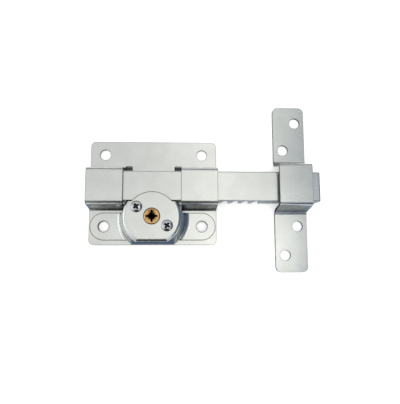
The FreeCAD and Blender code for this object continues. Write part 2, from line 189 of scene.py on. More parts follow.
def edge_share(tree, reach):
    """One on a sharp edge, falling to nought on the flats beside it."""
    rounded = tree.add("ShaderNodeBevel", {"Radius": reach}, samples=8).outputs[0]
    normal = tree.add("ShaderNodeNewGeometry").outputs["Normal"]
    facing = tree.add("ShaderNodeVectorMath", {0: rounded, 1: normal}, operation="DOT_PRODUCT")
    return tree.remap(facing.outputs["Value"], 0.995, 0.92, 0.0, 1.0)


def outside_fold(tree, place, fold):
    """One below a bright fold's foot or behind its back, nought on the fold itself."""
    foot, back = fold
    spot = tree.add("ShaderNodeSeparateXYZ", {0: place}).outputs
    below = tree.math("LESS_THAN", spot["Z"], foot)
    behind = tree.math("GREATER_THAN", spot["Y"], back)
    return tree.math("MAXIMUM", below, behind)


def plated_steel(name, colour, roughness, grain, edge_reach=0.0, bright_fold=None):
    """Bright zinc plate on sheet: faint rolling grain, cloudy tone, fine scuffs, and painted shade and
    dark reflection along the sharp edges.
    """
    material, tree, shader = new_material(name)
    place = object_place(tree)
    rolled = tree.noise(tree.stretched(place, grain), 1.0, 3.0, 0.6)
    clouds = tree.noise(place, 90.0, 2.0, 0.5)
    scuff_map = tree.noise(tree.stretched(place, (260, 2600, 900)), 1.0, 2.0, 0.5)
    scuff = tree.remap(scuff_map, 0.68, 0.76, 0.0, 0.15)
    cloudy = tree.blend(clouds, faded(colour, 0.88), faded(colour, 1.06))
    grained = tree.blend(tree.math("MULTIPLY", rolled, 0.15), cloudy, faded(colour, 0.96))
    worn_and_shaded = tree.blend(scuff, grained, faded(colour, 0.93))
    # Painted shade and dark reflection: sharp edges are darkened to a tenth of the colour
    if edge_reach:
        edge_shade = edge_share(tree, edge_reach)
        if bright_fold:
            edge_shade = tree.math("MULTIPLY", outside_fold(tree, place, bright_fold), edge_shade)
        worn_and_shaded = tree.blend(edge_shade, worn_and_shaded, faded(colour, 0.1))
    tree.feed(shader.inputs["Base Color"], worn_and_shaded)
    tree.feed(shader.inputs["Roughness"], tree.remap(scuff, 0.0, 1.0, roughness, roughness + 0.1))
    tree.feed(shader.inputs["Normal"], tree.bump(rolled, 0.03, 0.00001))
    shader.inputs["Metallic"].default_value = 1.0
    return material


def cast_zinc(name, colour):
    """Dull die-cast zinc with a sandy skin."""
    material, tree, shader = new_material(name)
    place = object_place(tree)
    sand = tree.noise(place, 1500.0, 3.0, 0.6)
    clouds = tree.noise(place, 110.0, 3.0, 0.5)
    base = tree.blend(tree.remap(clouds, 0.3, 0.7, 0.0, 1.0), faded(colour, 0.85), (*colour[:3], 1.0))
    tree.feed(shader.inputs["Base Color"], base)
    tree.feed(shader.inputs["Roughness"], tree.remap(sand, 0.3, 0.7, 0.45, 0.62))
    tree.feed(shader.inputs["Normal"], tree.bump(sand, 0.5, 0.00006))
    shader.inputs["Metallic"].default_value = 0.9
    return material


def axis_distance(tree, place, centre):
    """Distance from an upright axis, or the distance kept on the mesh where there is no centre."""
    if centre is None:
        return tree.add("ShaderNodeAttribute", attribute_name="axis_distance").outputs["Fac"]
    flat = tree.stretched(place, (1, 1, 0), centre)
    return tree.add("ShaderNodeVectorMath", {0: flat}, operation="LENGTH").outputs["Value"]


def turned_metal(name, colour, roughness, centre, pitch, shade_rings=(), depth_shade=None, dish=0.0):
    """Metal turned on a lathe about Z: fine marks, with optional rings of painted shade and painted shade
    in its depths.
    """
    material, tree, shader = new_material(name)
    place = object_place(tree)
    distance = axis_distance(tree, place, centre)
    rings = tree.math("SINE", tree.math("MULTIPLY", distance, 2 * math.pi / pitch))
    wander = tree.noise(place, 420.0, 3.0, 0.6)
    groove = tree.math("ADD", tree.math("MULTIPLY", rings, 0.5), wander)
    base = tree.blend(tree.remap(wander, 0.3, 0.7, 0.0, 1.0), faded(colour, 0.86), (*colour[:3], 1.0))
    # Rings of painted shade, each blended in across a band of distance from the axis
    for shade_colour, start, end in shade_rings:
        base = tree.blend(tree.remap(distance, start, end, 0.0, 1.0), base, (*shade_colour[:3], 1.0))
    # Painted shade: the colour darkens towards near black the deeper a point lies below the face
    if depth_shade is not None:
        shade_start, shade_end = depth_shade
        height = tree.add("ShaderNodeSeparateXYZ", {0: place}).outputs["Z"]
        base = tree.blend(tree.remap(height, shade_start, shade_end, 0.0, 1.0), base, DEEP_SHADE)
    tree.feed(shader.inputs["Base Color"], base)
    tree.feed(shader.inputs["Roughness"], tree.remap(wander, 0.3, 0.7, roughness * 0.8, roughness * 1.3))
    normal = tree.bump(groove, 0.25, 0.00002)
    if dish:
        normal = tree.bump(distance, 1.0, dish, normal)
    tree.feed(shader.inputs["Normal"], normal)
    shader.inputs["Metallic"].default_value = 1.0
    return material


def machined_steel(name, colour, roughness):
    """Bare cut steel with fine cross marks and a thin film of grease."""
    material, tree, shader = new_material(name)
    place = object_place(tree)
    marks = tree.noise(tree.stretched(place, (2200, 2200, 300)), 1.0, 2.0, 0.5)
    film = tree.noise(place, 240.0, 3.0, 0.5)
    base = tree.blend(tree.remap(film, 0.35, 0.65, 0.0, 1.0), faded(colour, 0.7), (*colour[:3], 1.0))
    tree.feed(shader.inputs["Base Color"], base)
    tree.feed(shader.inputs["Roughness"], tree.remap(film, 0.3, 0.7, roughness * 0.8, roughness * 1.4))
    tree.feed(shader.inputs["Normal"], tree.bump(marks, 0.35, 0.00003))
    shader.inputs["Metallic"].default_value = 1.0
    return material


# Pieces

def new_piece(name, mesh):
    """Object at the origin that holds a finished mesh."""
    piece = bpy.data.objects.new(name, mesh)
    bpy.context.scene.collection.objects.link(piece)
    return piece


def one_finish(piece, material):
    """The same finish all over a piece."""
    piece.data.materials.clear()
    piece.data.materials.append(material)


def settle(piece, slot, body, *nodes):
    """Gives a piece its place on a body, and lets it stand for CAD nodes."""
    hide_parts(*nodes)
    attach(piece, body)


def clean_copy(node, name):
    """Merged copy of a CAD node, at the origin."""
    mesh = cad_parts[node].data.copy()
    mesh.name = name
    mesh.materials.clear()
    work = bmesh.new()
    work.from_mesh(mesh)
    bmesh.ops.remove_doubles(work, verts=work.verts, dist=MERGE_DISTANCE)
    work.to_mesh(mesh)
    work.free()
    mesh.shade_smooth()
    return new_piece(name, mesh)


def two_finishes(piece, rolled, sheared, is_sheared):
    """One finish on the rolled faces of a sheet, another on its sheared edges."""
    piece.data.materials.append(rolled)
    piece.data.materials.append(sheared)
    for face in piece.data.polygons:
        face.material_index = int(is_sheared(face.center, face.normal))


def is_sheet_edge(centre, normal):
    """Says whether a face is a cut edge of a flat or folded sheet."""
    upright = abs(normal.z) < 0.05
    return upright and (abs(normal.x) > 0.9 or centre.z < SHEET)


def is_cover_edge(centre, normal):
    """Says whether a face is a cut edge of the drawn cover, whose walls all lean."""
    return abs(normal.z) < 0.03


def is_notch_wall(centre, normal):
    """Says whether a face is a wall of the rack's notches."""
    return abs(normal.x) > 0.8 and centre.y < RACK_TOP and centre.x < RACK_END


def ease_edges(piece, width):
    """Small round on every sharp edge, in the piece's last finish, with the flats kept flat."""
    piece.data.set_sharp_from_angle(angle=SHARP_ANGLE)
    bevel = piece.modifiers.new("Eased edges", "BEVEL")
    bevel.width = width
    bevel.segments = 2
    bevel.material = len(piece.data.materials) - 1
    bevel.limit_method = "ANGLE"
    bevel.angle_limit = SHARP_ANGLE
    bevel.use_clamp_overlap = True
    bevel.miter_outer = "MITER_ARC"
    flats = piece.modifiers.new("Flat faces", "WEIGHTED_NORMAL")
    flats.keep_sharp = True
    flats.weight = 100


# Settings

class GateBoltFinish(bpy.types.PropertyGroup):
    """Colours and edges of the metal pieces."""

    steel: bpy.props.FloatVectorProperty(
        name="Plated steel", description="Colour of the bright zinc plate on the sheet parts",
        default=(0.56, 0.58, 0.56), subtype="COLOR", min=0.0, max=1.0,
    )
    steel_roughness: bpy.props.FloatProperty(
        name="Steel roughness", description="How matt the plate is", default=0.27, min=0.0, max=1.0,
        subtype="FACTOR",
    )
    brass: bpy.props.FloatVectorProperty(
        name="Brass", description="Colour of the plug's face",
        default=(0.64, 0.4, 0.17), subtype="COLOR", min=0.0, max=1.0,
    )
    # Painted shade: a darker ring at the plug's rim, where the cover's hole shades it
    brass_rim_shade: bpy.props.FloatVectorProperty(
        name="Brass rim shade", description="Colour of the painted shade at the plug's rim",
        default=(0.42, 0.22, 0.1), subtype="COLOR", min=0.0, max=1.0,
    )
    chrome: bpy.props.FloatVectorProperty(
        name="Bright screws", description="Colour of the cover screws",
        default=(0.5, 0.5, 0.52), subtype="COLOR", min=0.0, max=1.0,
    )
    casting: bpy.props.FloatVectorProperty(
        name="Casting", description="Colour of the cylinder housing",
        default=(0.5, 0.51, 0.52), subtype="COLOR", min=0.0, max=1.0,
    )
    edge: bpy.props.FloatProperty(
        name="Eased edge", description="Round on the cut edges of the sheet",
        default=0.0004, min=0.0, unit="LENGTH", precision=5,
    )


class GateBoltScrew(bpy.types.PropertyGroup):
    """Sizes of a cover screw."""

    head_radius: bpy.props.FloatProperty(
        name="Head radius", description="Radius of the pan head",
        default=node_size("cover_screw_upper").x / 2, min=0.001, unit="LENGTH", precision=5,
    )
    head_height: bpy.props.FloatProperty(
        name="Head height", description="Height of the pan head",
        default=0.002, min=0.0005, unit="LENGTH", precision=5,
    )
    shank_radius: bpy.props.FloatProperty(
        name="Shank radius", description="Radius of the shank",
        default=0.00195, min=0.0005, unit="LENGTH", precision=5,
    )
    recess_reach: bpy.props.FloatProperty(
        name="Recess reach", description="Reach of each arm of the cross",
        default=0.0028, min=0.0005, unit="LENGTH", precision=5,
    )
    recess_width: bpy.props.FloatProperty(
        name="Recess width", description="Width of each arm of the cross",
        default=0.0019, min=0.0002, unit="LENGTH", precision=5,
    )
    recess_depth: bpy.props.FloatProperty(
        name="Recess depth", description="Depth of the cross",
        default=0.0013, min=0.0002, unit="LENGTH", precision=5,
    )
    turn: bpy.props.FloatProperty(
        name="Turn", description="Angle of the cross", default=math.radians(35), subtype="ANGLE",
    )


class GateBoltSpring(bpy.types.PropertyGroup):
    """Sizes of a pin spring."""

    wire: bpy.props.FloatProperty(
        name="Wire", description="Thickness of the wire", default=0.00036, min=0.0001, unit="LENGTH",
        precision=5,
    )
    turns: bpy.props.IntProperty(name="Turns", description="Turns of the coil", default=3, min=1)


class GateBoltStudio(bpy.types.PropertyGroup):
    """Camera, floor and lights."""

    lens: bpy.props.FloatProperty(
        name="Lens", description="Focal length of the camera", default=38.749, min=1.0,
        unit="CAMERA",
    )
    floor_size: bpy.props.FloatProperty(
        name="Floor size", description="Width of the floor", default=3.0, min=0.5, unit="LENGTH",
    )
    glare_power: bpy.props.FloatProperty(
        name="Warm glare", description="Power of the small warm lamps overhead", default=0.08, min=0.0,
        unit="POWER",
    )
    strip_power: bpy.props.FloatProperty(
        name="Strips", description="Power of the long warm lamps overhead", default=0.18, min=0.0,
        unit="POWER",
    )
    side_power: bpy.props.FloatProperty(
        name="Side lamps", description="Power of the cool lamps to the left and in front", default=0.5,
        min=0.0, unit="POWER",
    )
    ambient: bpy.props.FloatProperty(
        name="Ambient", description="Strength of the plain light from all round", default=1.0, min=0.0,
        subtype="FACTOR",
    )
    floor_glow: bpy.props.FloatProperty(
        name="Floor glow", description="What lifts the floor to white", default=0.42, min=0.0,
        subtype="FACTOR",
    )


def finish_of(context):
    """The metal settings of the scene."""
    return context.scene.gate_bolt_finish


def steel(context, name, grain, edge_reach=0.0, bright_fold=None):
    """Plated steel with its grain along the sheet and painted shade along its edges, save for a bright
    fold.
    """
    finish = finish_of(context)
    return plated_steel(name, finish.steel, finish.steel_roughness, grain, edge_reach, bright_fold)


def shaded_sheared_edge(context, name="Shaded sheared edge", share=0.3):
    """Finish of sheared edges: rougher than the rolled faces, and painted darker as shade and dark
    reflection along the edges.
    """
    made_before = bpy.data.materials.get(name)
    return made_before or machined_steel(name, faded(finish_of(context).steel, share), 0.42)


# Operators

class GATEBOLT_OT_plate(bpy.types.Operator):
    """Dress the folded back plate with its two straps"""

    bl_idname = "gate_bolt.plate"
    bl_label = "Back Plate"

    def execute(self, context):
        plate = clean_copy("back_plate", "folded_plate")
        rolled = steel(context, "Plated sheet", (900, 60, 900), 0.0007)
        two_finishes(plate, rolled, shaded_sheared_edge(context), is_sheet_edge)
        ease_edges(plate, finish_of(context).edge)
        settle(plate, "plate_steel", "lock_frame", "back_plate")
        return {"FINISHED"}


class GATEBOLT_OT_keeper(bpy.types.Operator):
    """Dress the bent keeper"""

    bl_idname = "gate_bolt.keeper"
    bl_label = "Keeper"

    def execute(self, context):
        keeper = clean_copy("keeper", "bent_keeper")
        rolled = steel(context, "Plated strip", (900, 60, 900), 0.0006)
        # The keeper's edges are painted near black: painted shade of the gap between keeper and bolt
        two_finishes(keeper, rolled, shaded_sheared_edge(context, "Keeper edge shade", 0.1), is_sheet_edge)
        ease_edges(keeper, finish_of(context).edge)
        settle(keeper, "keeper_steel", "lock_frame", "keeper")
        return {"FINISHED"}


class GATEBOLT_OT_bolt(bpy.types.Operator):
    """Dress the sliding bolt with its rack"""

    bl_idname = "gate_bolt.bolt"
    bl_label = "Bolt"

    def execute(self, context):
        bolt = clean_copy("bolt_bar", "sliding_bolt_bar")
        drawn = steel(context, "Drawn bolt", (40, 900, 900))
        # The notch walls take the dark edge finish: painted shade in the rack's notches
        two_finishes(bolt, drawn, shaded_sheared_edge(context), is_notch_wall)
        ease_edges(bolt, finish_of(context).edge)
        settle(bolt, "bolt_steel", "sliding_bolt", "bolt_bar")
        return {"FINISHED"}


class GATEBOLT_OT_cover(bpy.types.Operator):
    """Dress the drawn lock cover"""

    bl_idname = "gate_bolt.cover"
    bl_label = "Lock Cover"

    def execute(self, context):
        cover = clean_copy("lock_cover", "drawn_cover")
        drawn = steel(context, "Drawn cover", (500, 60, 500), 0.0013, COVER_FOLD)
        two_finishes(cover, drawn, shaded_sheared_edge(context), is_cover_edge)
        ease_edges(cover, finish_of(context).edge)
        settle(cover, "cover_steel", "lock_frame", "lock_cover")
        return {"FINISHED"}


def add_input(tree, name, kind, default, subtype):
    """Adds a named input to a geometry tree."""
    item = tree.interface.new_socket(name=name, in_out="INPUT", socket_type=kind)
    if hasattr(item, "subtype") and subtype != "NONE":
        item.subtype = subtype
    if default is not None:
        item.default_value = default


def geometry_tree(name, inputs):
    """Geometry tree with named inputs, as (tree, short form, group input)."""
    tree = bpy.data.node_groups.new(name, "GeometryNodeTree")
    tree.interface.new_socket(name="Geometry", in_out="INPUT", socket_type="NodeSocketGeometry")
    for label, kind, default, subtype in inputs:
        add_input(tree, label, kind, default, subtype)
    tree.interface.new_socket(name="Geometry", in_out="OUTPUT", socket_type="NodeSocketGeometry")
    short = Tree(tree)
    return tree, short, short.add("NodeGroupInput")


def close_tree(short, geometry, material, marked=None):
    """Realized and painted end of a geometry tree, with a second finish on marked faces."""
    realized = short.add("GeometryNodeRealizeInstances", {0: geometry}).outputs[0]
    painted = short.add("GeometryNodeSetMaterial", {"Geometry": realized, "Material": material}).outputs[0]
    if marked is not None:
        mark, second = marked
        chosen = short.add("GeometryNodeInputNamedAttribute", {"Name": mark}, data_type="BOOLEAN")
        painted = short.add("GeometryNodeSetMaterial", {
            "Geometry": painted, "Selection": chosen.outputs["Attribute"], "Material": second,
        }).outputs[0]
    output = short.add("NodeGroupOutput")
    short.feed(output.inputs[0], painted)


def grown(name, tree, points, values):
    """Plain mesh that a geometry tree makes from points."""
    seed = bpy.data.meshes.new(name + "_points")
    seed.from_pydata([tuple(point) for point in points], [], [])
    carrier = new_piece(name + "_seed", seed)
    modifier = carrier.modifiers.new("Grow", "NODES")
    modifier.node_group = tree
    for item in tree.interface.items_tree:
        if item.in_out == "INPUT" and item.name in values:
            modifier[item.identifier] = values[item.name]
    graph = bpy.context.evaluated_depsgraph_get()
    mesh = bpy.data.meshes.new_from_object(carrier.evaluated_get(graph))
    if not mesh.polygons:
        raise RuntimeError(f"{name}: the geometry tree made no faces")
    mesh.name = name
    carrier.modifiers.remove(modifier)
    bpy.data.objects.remove(carrier)
    return new_piece(name, mesh)


def screw_profile(screw):
    """Half section of the screw from its tip to the top of its head, as (radius, height)."""
    length = node_size(SCREW_NODES[0]).z - screw.head_height
    shank, head = screw.shank_radius, screw.head_radius
    points = [(0.0, -length), (shank * 0.7, -length), (shank, SCREW_TIP - length)]
    points += [(shank, 0.0), (head - HEAD_EDGE, 0.0), (head, HEAD_EDGE)]
    rim = screw.head_height * 0.3
    steps = 8
    for step in range(steps):
        turn = math.pi / 2 * step / steps
        points.append((head * math.cos(turn) ** 0.8, rim + (screw.head_height - rim) * math.sin(turn)))
    points.append((0.0, screw.head_height))
    return points


def mark_recess(mesh, screw):
    """Notes each corner's distance from the axis, and marks the faces of the cross recess."""
    distance = mesh.attributes.new("axis_distance", "FLOAT", "POINT")
    for corner, entry in zip(mesh.vertices, distance.data):
        entry.value = corner.co.xy.length
    mark = mesh.attributes.new("recess", "BOOLEAN", "FACE")
    crown = screw.head_height - RECESS_EDGE
    for face, entry in zip(mesh.polygons, mark.data):
        entry.value = 0 < face.center.z < crown and face.center.xy.length < screw.recess_reach


def turned_loop(work, radius, height):
    """Ring of corners round the axis, or one corner on it."""
    if radius == 0.0:
        return [work.verts.new((0, 0, height))]
    turns = [2 * math.pi * side / SCREW_SIDES for side in range(SCREW_SIDES)]
    return [work.verts.new((radius * math.cos(turn), radius * math.sin(turn), height)) for turn in turns]


def turned_mesh(name, profile):
    """Closed mesh turned about Z from a half section."""
    work = bmesh.new()
    loops = [turned_loop(work, radius, height) for radius, height in profile]
    for lower, upper in zip(loops, loops[1:]):
        for side in range(SCREW_SIDES):
            following = (side + 1) % SCREW_SIDES
            corners = [lower[side % len(lower)], lower[following % len(lower)],
                       upper[following % len(upper)], upper[side % len(upper)]]
            work.faces.new(dict.fromkeys(corners))
    return mesh_of(work, name)


def mesh_of(work, name):
    """Mesh with its faces turned outward, from a finished bmesh."""
    bmesh.ops.recalc_face_normals(work, faces=work.faces)
    mesh = bpy.data.meshes.new(name)
    work.to_mesh(mesh)
    work.free()
    return mesh


def screw_blank(screw):
    """Turned screw at the origin, with its cross recess cut and marked."""
    blank = new_piece("screw_blank", turned_mesh("screw_blank", screw_profile(screw)))
    cutter = recess_cutter(screw)
    cut = blank.modifiers.new("Recess", "BOOLEAN")
    cut.operation = "DIFFERENCE"
    cut.solver = "EXACT"
    cut.object = cutter
    graph = bpy.context.evaluated_depsgraph_get()
    finished = bpy.data.meshes.new_from_object(blank.evaluated_get(graph))
    bpy.data.objects.remove(blank)
    bpy.data.objects.remove(cutter)
    mark_recess(finished, screw)
    return finished


def cross_outline(reach, half):
    """Corners of a cross, anticlockwise, from the reach and half width of its arms."""
    corners = []
    for quarter in range(4):
        turn = Matrix.Rotation(math.pi / 2 * quarter, 2)
        for corner in ((half, -half), (reach, -half), (reach, half)):
            corners.append(turn @ Vector(corner))
    return corners


def recess_cutter(screw):
    """Tapered cross that cuts the recess."""
    work = bmesh.new()
    levels = (
        (screw.recess_reach * 0.55, screw.recess_width * 0.3, screw.head_height - screw.recess_depth),
        (screw.recess_reach, screw.recess_width / 2, screw.head_height + 0.0005),
    )
    floor, lid = [
        [work.verts.new((corner.x, corner.y, height)) for corner in cross_outline(reach, half)]
        for reach, half, height in levels
    ]
    work.faces.new(reversed(floor))
    work.faces.new(lid)
    for side in range(len(floor)):
        following = (side + 1) % len(floor)
        work.faces.new((floor[side], floor[following], lid[following], lid[side]))
    return new_piece("recess_cutter", mesh_of(work, "recess_cutter"))


def screw_tree(turn, material, recess):
    """Geometry tree that sets a screw at each point, each turned a little further."""
    tree, short, given = geometry_tree("Screw at each point", [
        ("Screw", "NodeSocketObject", None, "NONE"),
        ("Turn", "NodeSocketFloat", turn, "ANGLE"),
        ("Turn between screws", "NodeSocketFloat", SCREW_TWIST, "ANGLE"),
    ])
    pattern = short.add("GeometryNodeObjectInfo", {"Object": given.outputs["Screw"]})
    index = short.add("GeometryNodeInputIndex").outputs[0]
    step = short.math("MULTIPLY", index, given.outputs["Turn between screws"])
    angle = short.add("ShaderNodeCombineXYZ", {"Z": short.math("ADD", given.outputs["Turn"], step)})
    turned = short.add("FunctionNodeEulerToRotation", {0: angle.outputs[0]}).outputs[0]
    placed = short.add("GeometryNodeInstanceOnPoints", {
        "Points": given.outputs["Geometry"], "Instance": pattern.outputs["Geometry"], "Rotation": turned,
    }).outputs[0]
    close_tree(short, placed, material, ("recess", recess))
    return tree


class GATEBOLT_OT_screws(bpy.types.Operator):
    """Set a cross-recess screw at each of the cover's two holes"""

    bl_idname = "gate_bolt.screws"
    bl_label = "Cover Screws"

    def execute(self, context):
        screw = context.scene.gate_bolt_screw
        # Painted dark reflection on the rounded rim of each screw head
        rim = (SCREW_RIM_REFLECTION, screw.head_radius * 0.86, screw.head_radius * 0.98)
        material = turned_metal("Bright screws", finish_of(context).chrome, 0.14, None, 0.0004, (rim,))
        # The cross recess is painted near black: painted shade inside it
        recess = machined_steel("Screw recess", (0.03, 0.03, 0.035), 0.5)
        blank = new_piece("screw_pattern", screw_blank(screw))
        points = [(*node_middle(node).xy, COVER_FRONT) for node in SCREW_NODES]
        screws = grown("cover_screws", screw_tree(screw.turn, material, recess), points, {
            "Screw": blank, "Turn": screw.turn, "Turn between screws": SCREW_TWIST,
        })
        bpy.data.objects.remove(blank)
        screws.data.shade_smooth()
        screws.data.set_sharp_from_angle(angle=SHARP_ANGLE)
        settle(screws, "fastener_chrome", "lock_frame", *SCREW_NODES)
        return {"FINISHED"}


class GATEBOLT_OT_plug(bpy.types.Operator):
    """Dress the brass plug and the key pins in it"""

    bl_idname = "gate_bolt.plug"
    bl_label = "Cylinder Plug"

    def execute(self, context):
        finish = finish_of(context)
        radius = node_size("cylinder_plug").x / 2
        # Rings of painted shade: darker at the plug's rim, and near black round the keyway
        rings = ((finish.brass_rim_shade, radius * 0.88, radius * 0.97), (KEYWAY_SHADE, 0.0037, 0.0024))
        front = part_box("cylinder_plug")[1][2]
        # Painted shade in the keyway, from just under the plug's front to 1.2 mm deep
        depth_shade = (front - 0.0001, front - 0.0012)
        material = turned_metal(
            "Turned brass", finish.brass, 0.26, tuple(PLUG_AXIS), 0.00045, rings, depth_shade, PLUG_DISH,
        )
        plug = clean_copy("cylinder_plug", "brass_plug")
        one_finish(plug, material)
        ease_edges(plug, finish.edge / 2)
        settle(plug, "lock_brass", "key_plug", "cylinder_plug")
        for number in PIN_SETS:
            for kind in ("key_pin", "driver_pin"):
                dress(f"{kind}_{number}", material)
        return {"FINISHED"}


def dress(node, material):
    """Finish on a CAD node that stays."""
    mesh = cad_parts[node].data
    mesh.materials.clear()
    mesh.materials.append(material)


def spring_tree(spring, material):
    """Geometry tree that winds a coil at each point, aimed away from the plug's axis."""
    tree, short, given = geometry_tree("Spring at each point", [
        ("Wire", "NodeSocketFloat", spring.wire, "DISTANCE"),
        ("Coil radius", "NodeSocketFloat", 0.001, "DISTANCE"),
        ("Climb", "NodeSocketFloat", 0.001, "DISTANCE"),
        ("Turns", "NodeSocketFloat", float(spring.turns), "NONE"),
        ("Axis X", "NodeSocketFloat", 0.0, "DISTANCE"),
        ("Axis Y", "NodeSocketFloat", 0.0, "DISTANCE"),
    ])
    coil = short.add("GeometryNodeCurveSpiral", {
        "Resolution": 16, "Rotations": given.outputs["Turns"],
        "Start Radius": given.outputs["Coil radius"], "End Radius": given.outputs["Coil radius"],
        "Height": given.outputs["Climb"],
    }).outputs[0]
    ring = short.add("GeometryNodeCurvePrimitiveCircle", {
        "Resolution": 8, "Radius": short.math("MULTIPLY", given.outputs["Wire"], 0.5),
    }).outputs[0]
    wound = short.add("GeometryNodeCurveToMesh", {"Curve": coil, "Profile Curve": ring, "Fill Caps": True})
    spot = short.add("GeometryNodeInputPosition").outputs[0]
    axis = short.add("ShaderNodeCombineXYZ", {
        "X": given.outputs["Axis X"], "Y": given.outputs["Axis Y"],
    }).outputs[0]
    away = short.add("ShaderNodeVectorMath", {0: spot, 1: axis}, operation="SUBTRACT").outputs[0]
    level = short.add("ShaderNodeVectorMath", {0: away, 1: (1, 1, 0)}, operation="MULTIPLY").outputs[0]
    aimed = short.add("FunctionNodeAlignRotationToVector", {"Vector": level}, axis="Z").outputs[0]
    placed = short.add("GeometryNodeInstanceOnPoints", {
        "Points": given.outputs["Geometry"], "Instance": wound.outputs[0], "Rotation": aimed,
    }).outputs[0]
    close_tree(short, placed, material)
    return tree


def spring_start(node, wire):
    """Middle of a spring's first turn, at the end that faces the plug."""
    middle = node_middle(node)
    outward = (middle - PLUG_AXIS) * Vector((1, 1, 0))
    along = min(node_size(node).x, node_size(node).y)
    return middle - outward.normalized() * (along - wire) / 2


class GATEBOLT_OT_springs(bpy.types.Operator):
    """Wind a coil spring behind each driver pin"""

    bl_idname = "gate_bolt.springs"
    bl_label = "Pin Springs"

    def execute(self, context):
        spring = context.scene.gate_bolt_spring
        material = machined_steel("Spring wire", (0.55, 0.55, 0.57), 0.25)
        nodes = [f"pin_spring_{number}" for number in PIN_SETS]
        points = [spring_start(node, spring.wire) for node in nodes]
        size = node_size(nodes[0])
        springs = grown("pin_springs", spring_tree(spring, material), points, {
            "Wire": spring.wire, "Coil radius": (size.z - spring.wire) / 2,
            "Climb": min(size.x, size.y) - spring.wire, "Turns": float(spring.turns),
            "Axis X": PLUG_AXIS.x, "Axis Y": PLUG_AXIS.y,
        })
        springs.data.shade_smooth()
        settle(springs, "spring_steel", "lock_frame", *nodes)
        return {"FINISHED"}


class GATEBOLT_OT_works(bpy.types.Operator):
    """Dress the housing, the pinion and its clip"""

    bl_idname = "gate_bolt.works"
    bl_label = "Housing and Pinion"

    def execute(self, context):
        finish = finish_of(context)
        housing = clean_copy("cylinder_housing", "cast_housing")
        one_finish(housing, cast_zinc("Cast zinc", finish.casting))
        ease_edges(housing, finish.edge)
        settle(housing, "housing_zinc", "lock_frame", "cylinder_housing")
        pinion = clean_copy("pinion", "rack_pinion")
        one_finish(pinion, machined_steel("Cut steel", (0.5, 0.5, 0.51), 0.32))
        ease_edges(pinion, finish.edge)
        settle(pinion, "pinion_steel", "key_plug", "pinion")
        dress("pinion_clip", machined_steel("Clip steel", (0.42, 0.42, 0.45), 0.3))
        return {"FINISHED"}


# Studio

# Name, start, end, heights of the two edges, and colour of each flag that stands
STANDING_FLAGS = (
    ("skirt", (-0.5, -0.15), (0.5, -0.15), (0.0, 0.035), (0.5, 0.53, 0.57)),
    ("brown_flag", (-0.095, -0.15), (0.08, -0.15), (0.035, 0.36), (0.03, 0.02, 0.025)),
    ("blue_flag", (0.125, -0.15), (0.5, -0.15), (0.035, 0.22), (0.03, 0.07, 0.16)),
    ("right_flag", (0.3, -0.15), (0.3, 0.25), (0.0, 0.33), (0.11, 0.16, 0.27)),
    ("right_top_flag", (0.3, -0.15), (0.3, 0.25), (0.33, 0.71), (0.2, 0.26, 0.35)),
    ("back_flag", (-0.4, 0.35), (0.4, 0.35), (0.0, 0.25), (0.3, 0.3, 0.32)),
)

# Name, place, lean about Y, size, driving power, share of it, and colour of each lamp
LAMPS = (
    ("glare", (0.12, 0.15, 1.0), 0.0, (0.14, 0.3), "glare_power", 1.0, WARM),
    ("glare_top", (0.13, 0.36, 1.0), 0.0, (0.18, 0.24), "glare_power", 2.2, WARM),
    ("strip_right", (0.38, -0.02, 1.0), 0.0, (0.66, 0.2), "strip_power", 4.0, WARM),
    ("strip_left", (-0.22, 0.0, 1.0), 0.0, (0.54, 0.16), "strip_power", 0.6, WARM),
    ("left_lamp", (-0.6, 0.0, 0.22), -1.22, (0.4, 0.4), "side_power", 1.0, COOL),
    ("left_high", (-0.6, 0.0, 0.8), -0.64, (0.15, 0.6), "side_power", 0.1, COOL),
    ("front_left", (-0.62, -0.3, 0.6), -0.8, (0.2, 0.3), "side_power", 0.5, COOL),
    ("front_right", (0.5, -0.55, 0.6), 0.7, (0.2, 0.2), "side_power", 0.5, COOL),
)

CAMERA_PLACE = (0.02056, -0.05167, 0.32801)
CAMERA_TURNS = (("Z", -0.0036), ("Y", 0.0463), ("X", -0.1311))
CAMERA_SHIFT = (-0.0019, 0.0004)


def area_lamp(name, place, lean, size, power, colour):
    """Soft rectangular lamp that looks down, leant about Y."""
    data = bpy.data.lights.new(name, "AREA")
    data.shape = "RECTANGLE"
    data.size, data.size_y = size
    data.energy = power
    data.color = colour
    lamp = bpy.data.objects.new(name, data)
    lamp.location = place
    lamp.rotation_euler = (0, lean, 0)
    bpy.context.scene.collection.objects.link(lamp)


def set_lamps(studio):
    """The warm lamps overhead and the cool ones at the sides."""
    for name, place, lean, size, setting, share, colour in LAMPS:
        area_lamp(name, place, lean, size, getattr(studio, setting) * share, colour)


def seen_ray(tree):
    """One for rays from the camera, from gloss and through glass, else nought."""
    path = tree.add("ShaderNodeLightPath").outputs
    seen = tree.math("MAXIMUM", path["Is Camera Ray"], path["Is Transmission Ray"])
    return tree.math("MAXIMUM", seen, path["Is Glossy Ray"])


def set_world(studio):
    """White all round for the camera and the metal, plain soft grey as light."""
    world = bpy.data.worlds.new("Studio")
    bpy.context.scene.world = world
    world.use_nodes = True
    tree = Tree(world.node_tree)
    tree.nodes.clear()
    strength = tree.remap(seen_ray(tree), 0.0, 1.0, studio.ambient, 1.0)
    sky = tree.add("ShaderNodeBackground", {"Color": (1, 1, 1, 1), "Strength": strength})
    output = tree.add("ShaderNodeOutputWorld")
    tree.feed(output.inputs[0], sky.outputs[0])


